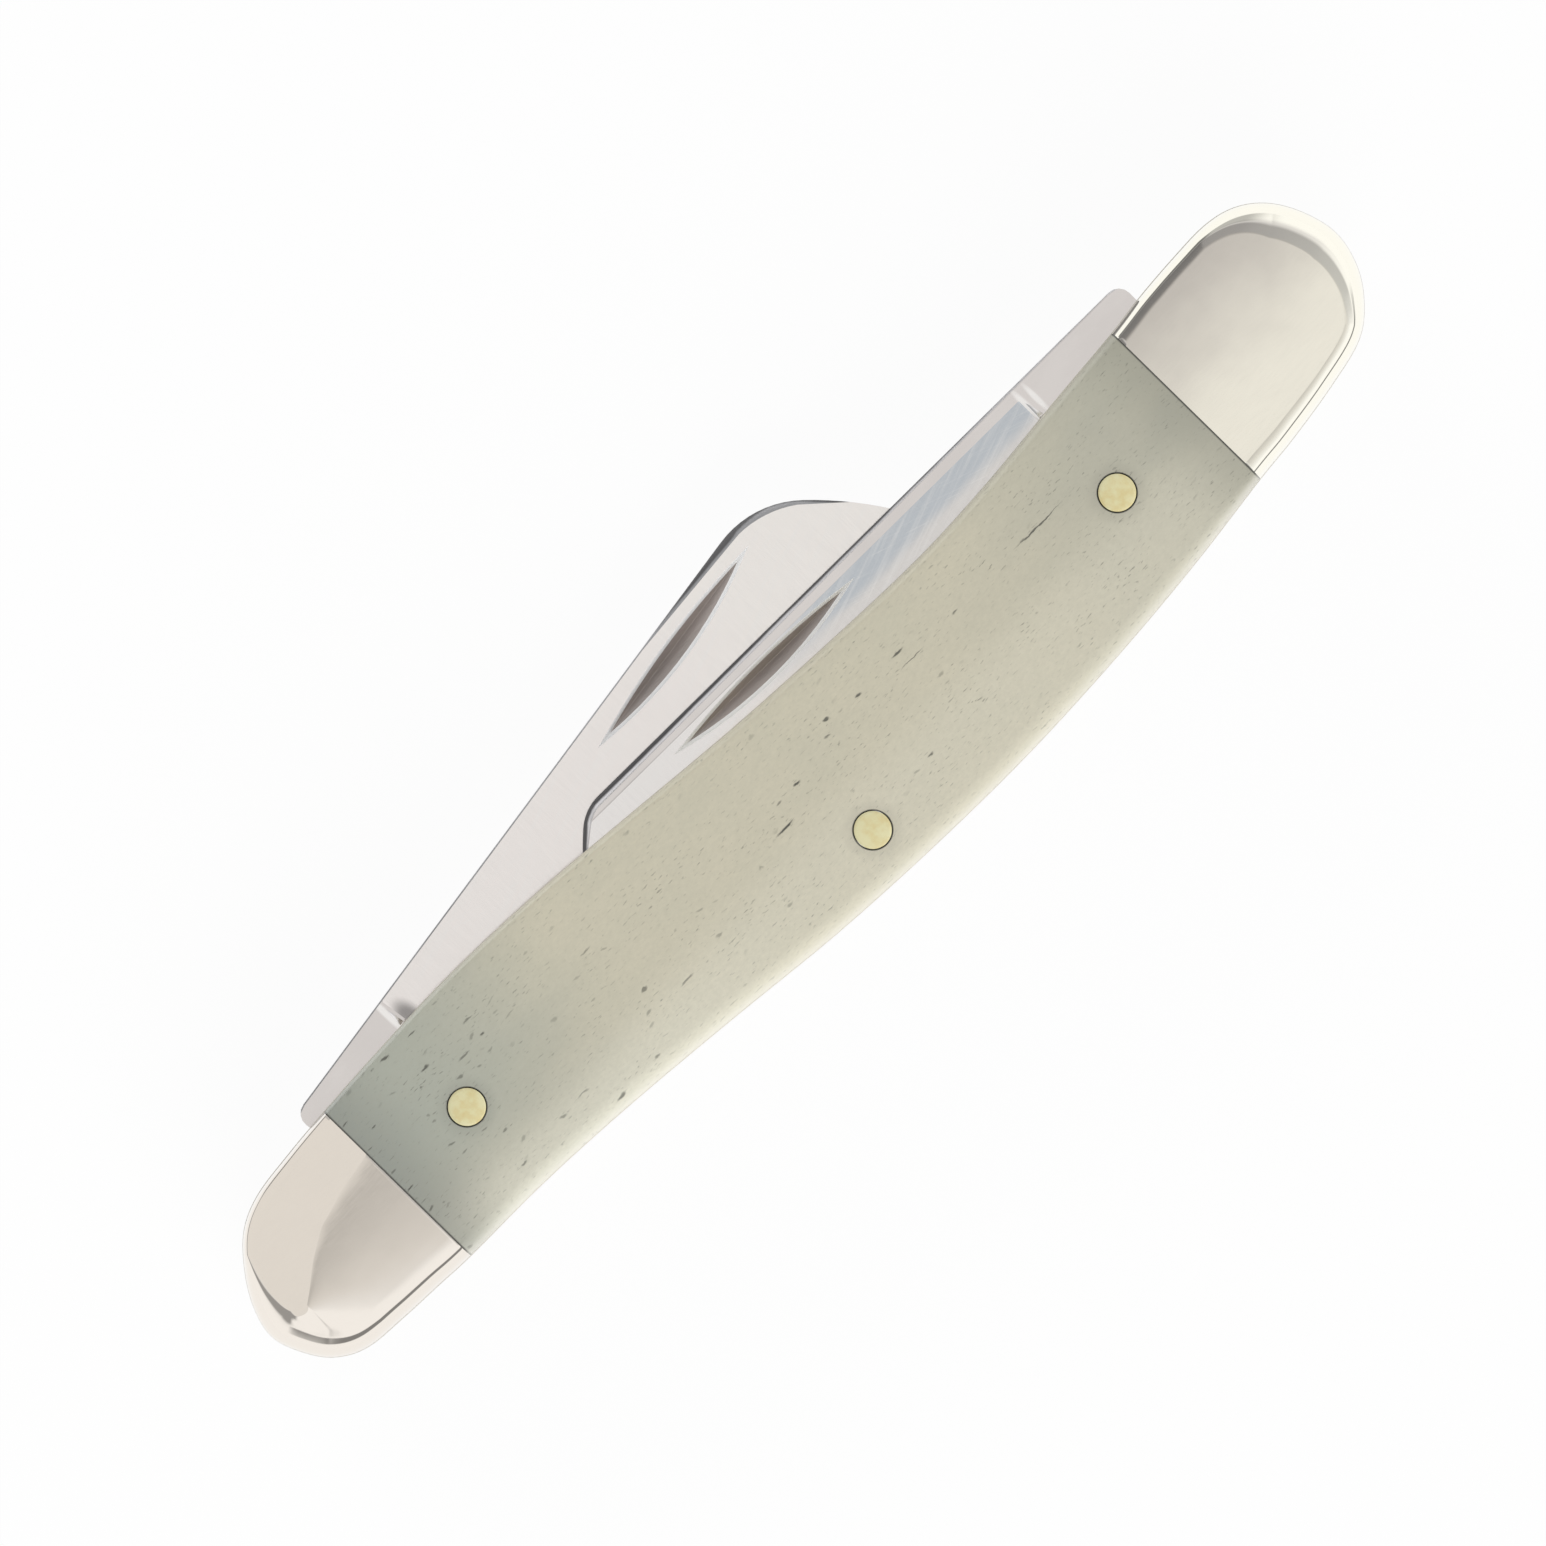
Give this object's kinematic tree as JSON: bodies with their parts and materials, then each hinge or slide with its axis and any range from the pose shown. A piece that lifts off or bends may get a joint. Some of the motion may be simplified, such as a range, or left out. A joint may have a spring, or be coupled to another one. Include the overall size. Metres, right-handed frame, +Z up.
{
  "type": "folding pocket knife",
  "caption": "Slip-joint folding pocket knife with bone scales and bolsters; a spey and a sheepsfoot blade fold out at opposite ends.",
  "frame": {"origin": "on the flat rear face, midway along the handle between the bolster joints and on the handle's centre line, with the knife lying on its rear side", "axes": "+X along the handle towards the larger head bolster, +Y towards the side that the blades fold out of, +Z up from the rear face to the front face"},
  "size_m": [0.0929, 0.0224, 0.0121],
  "materials": {
    "bone": "smooth polished bone, warm grey-beige with small dark streaks",
    "nickel_silver": "polished nickel silver",
    "liner": "pale satin metal sheet",
    "spring_steel": "satin ground spring steel",
    "blade_steel": "satin ground blade steel",
    "brass": "pale yellow brass pin"
  },
  "bodies": {
    "handle": {"front_scale": "bone", "rear_scale": "bone", "front_head_bolster": "nickel_silver", "front_tail_bolster": "nickel_silver", "rear_head_bolster": "nickel_silver", "rear_tail_bolster": "nickel_silver", "front_liner": "liner", "centre_liner": "liner", "rear_liner": "liner", "front_spring": "spring_steel", "rear_spring": "spring_steel", "head_pivot_pin": "nickel_silver", "tail_pivot_pin": "nickel_silver", "centre_pin": "brass", "front_head_scale_pin": "brass", "front_tail_scale_pin": "brass", "rear_head_scale_pin": "brass", "rear_tail_scale_pin": "brass"},
    "spey": {"spey_blade": "blade_steel"},
    "sheepsfoot": {"sheepsfoot_blade": "blade_steel"}
  },
  "joints": [
    {"name": "spey_pivot", "type": "hinge", "parent": "handle", "child": "spey", "pos_m": [0.0406, 0.0007, 0.00605], "axis": [0, 0, -1], "range_deg": [0, 179], "deforming": ["front_spring"]},
    {"name": "sheepsfoot_pivot", "type": "hinge", "parent": "handle", "child": "sheepsfoot", "pos_m": [-0.0389, 0.0007, 0.00605], "axis": [0, 0, 1], "range_deg": [0, 172.2], "deforming": ["rear_spring"]}
  ]
}
